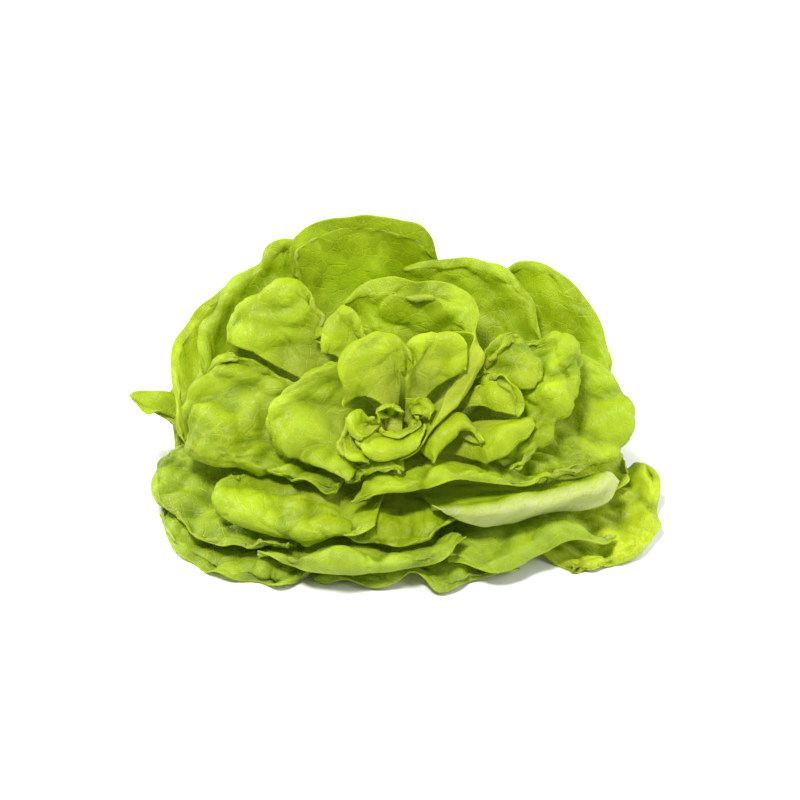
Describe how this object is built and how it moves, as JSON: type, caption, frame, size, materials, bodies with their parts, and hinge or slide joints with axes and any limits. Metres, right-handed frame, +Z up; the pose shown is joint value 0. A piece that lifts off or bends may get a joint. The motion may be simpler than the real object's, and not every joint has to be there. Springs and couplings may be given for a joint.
{
  "type": "butterhead lettuce",
  "caption": "Whole butterhead lettuce head with a cut stem, soft cupped leaves opening outward and a tight crumpled heart",
  "frame": {"origin": "middle of the stem's flat cut face", "axes": "+X is the head's long side, +Z is up out of the cut face, -Y is the side that the head leans to"},
  "size_m": [0.2992, 0.2083, 0.1456],
  "materials": {
    "stem": "pale, moist cut",
    "heart": "soft waxy sheen",
    "head_leaf": "soft waxy sheen",
    "wrapper_leaf": "soft waxy sheen, paler underneath",
    "outer_leaf": "soft waxy sheen, paler underneath"
  },
  "bodies": {
    "root": {"floor_leaf_back": "outer_leaf", "floor_leaf_front": "outer_leaf", "floor_leaf_left": "outer_leaf", "floor_leaf_right": "outer_leaf", "head_leaf_front": "head_leaf", "head_leaf_left": "head_leaf", "head_leaf_right": "head_leaf", "head_leaf_top": "head_leaf", "head_leaf_upper_left": "head_leaf", "heart": "heart", "outer_leaf_back_left": "outer_leaf", "outer_leaf_back_right": "outer_leaf", "outer_leaf_front": "outer_leaf", "outer_leaf_front_right": "outer_leaf", "outer_leaf_left": "outer_leaf", "outer_leaf_right_low": "outer_leaf", "stem": "stem", "wrapper_leaf_back_left": "wrapper_leaf", "wrapper_leaf_back_right": "wrapper_leaf", "wrapper_leaf_back_top": "wrapper_leaf", "wrapper_leaf_far_left": "wrapper_leaf", "wrapper_leaf_front_left": "wrapper_leaf", "wrapper_leaf_front_mid": "wrapper_leaf", "wrapper_leaf_front_pale": "wrapper_leaf", "wrapper_leaf_left_blistered": "wrapper_leaf", "wrapper_leaf_left_roll": "wrapper_leaf", "wrapper_leaf_right": "wrapper_leaf", "wrapper_leaf_right_back": "wrapper_leaf"}
  },
  "joints": []
}
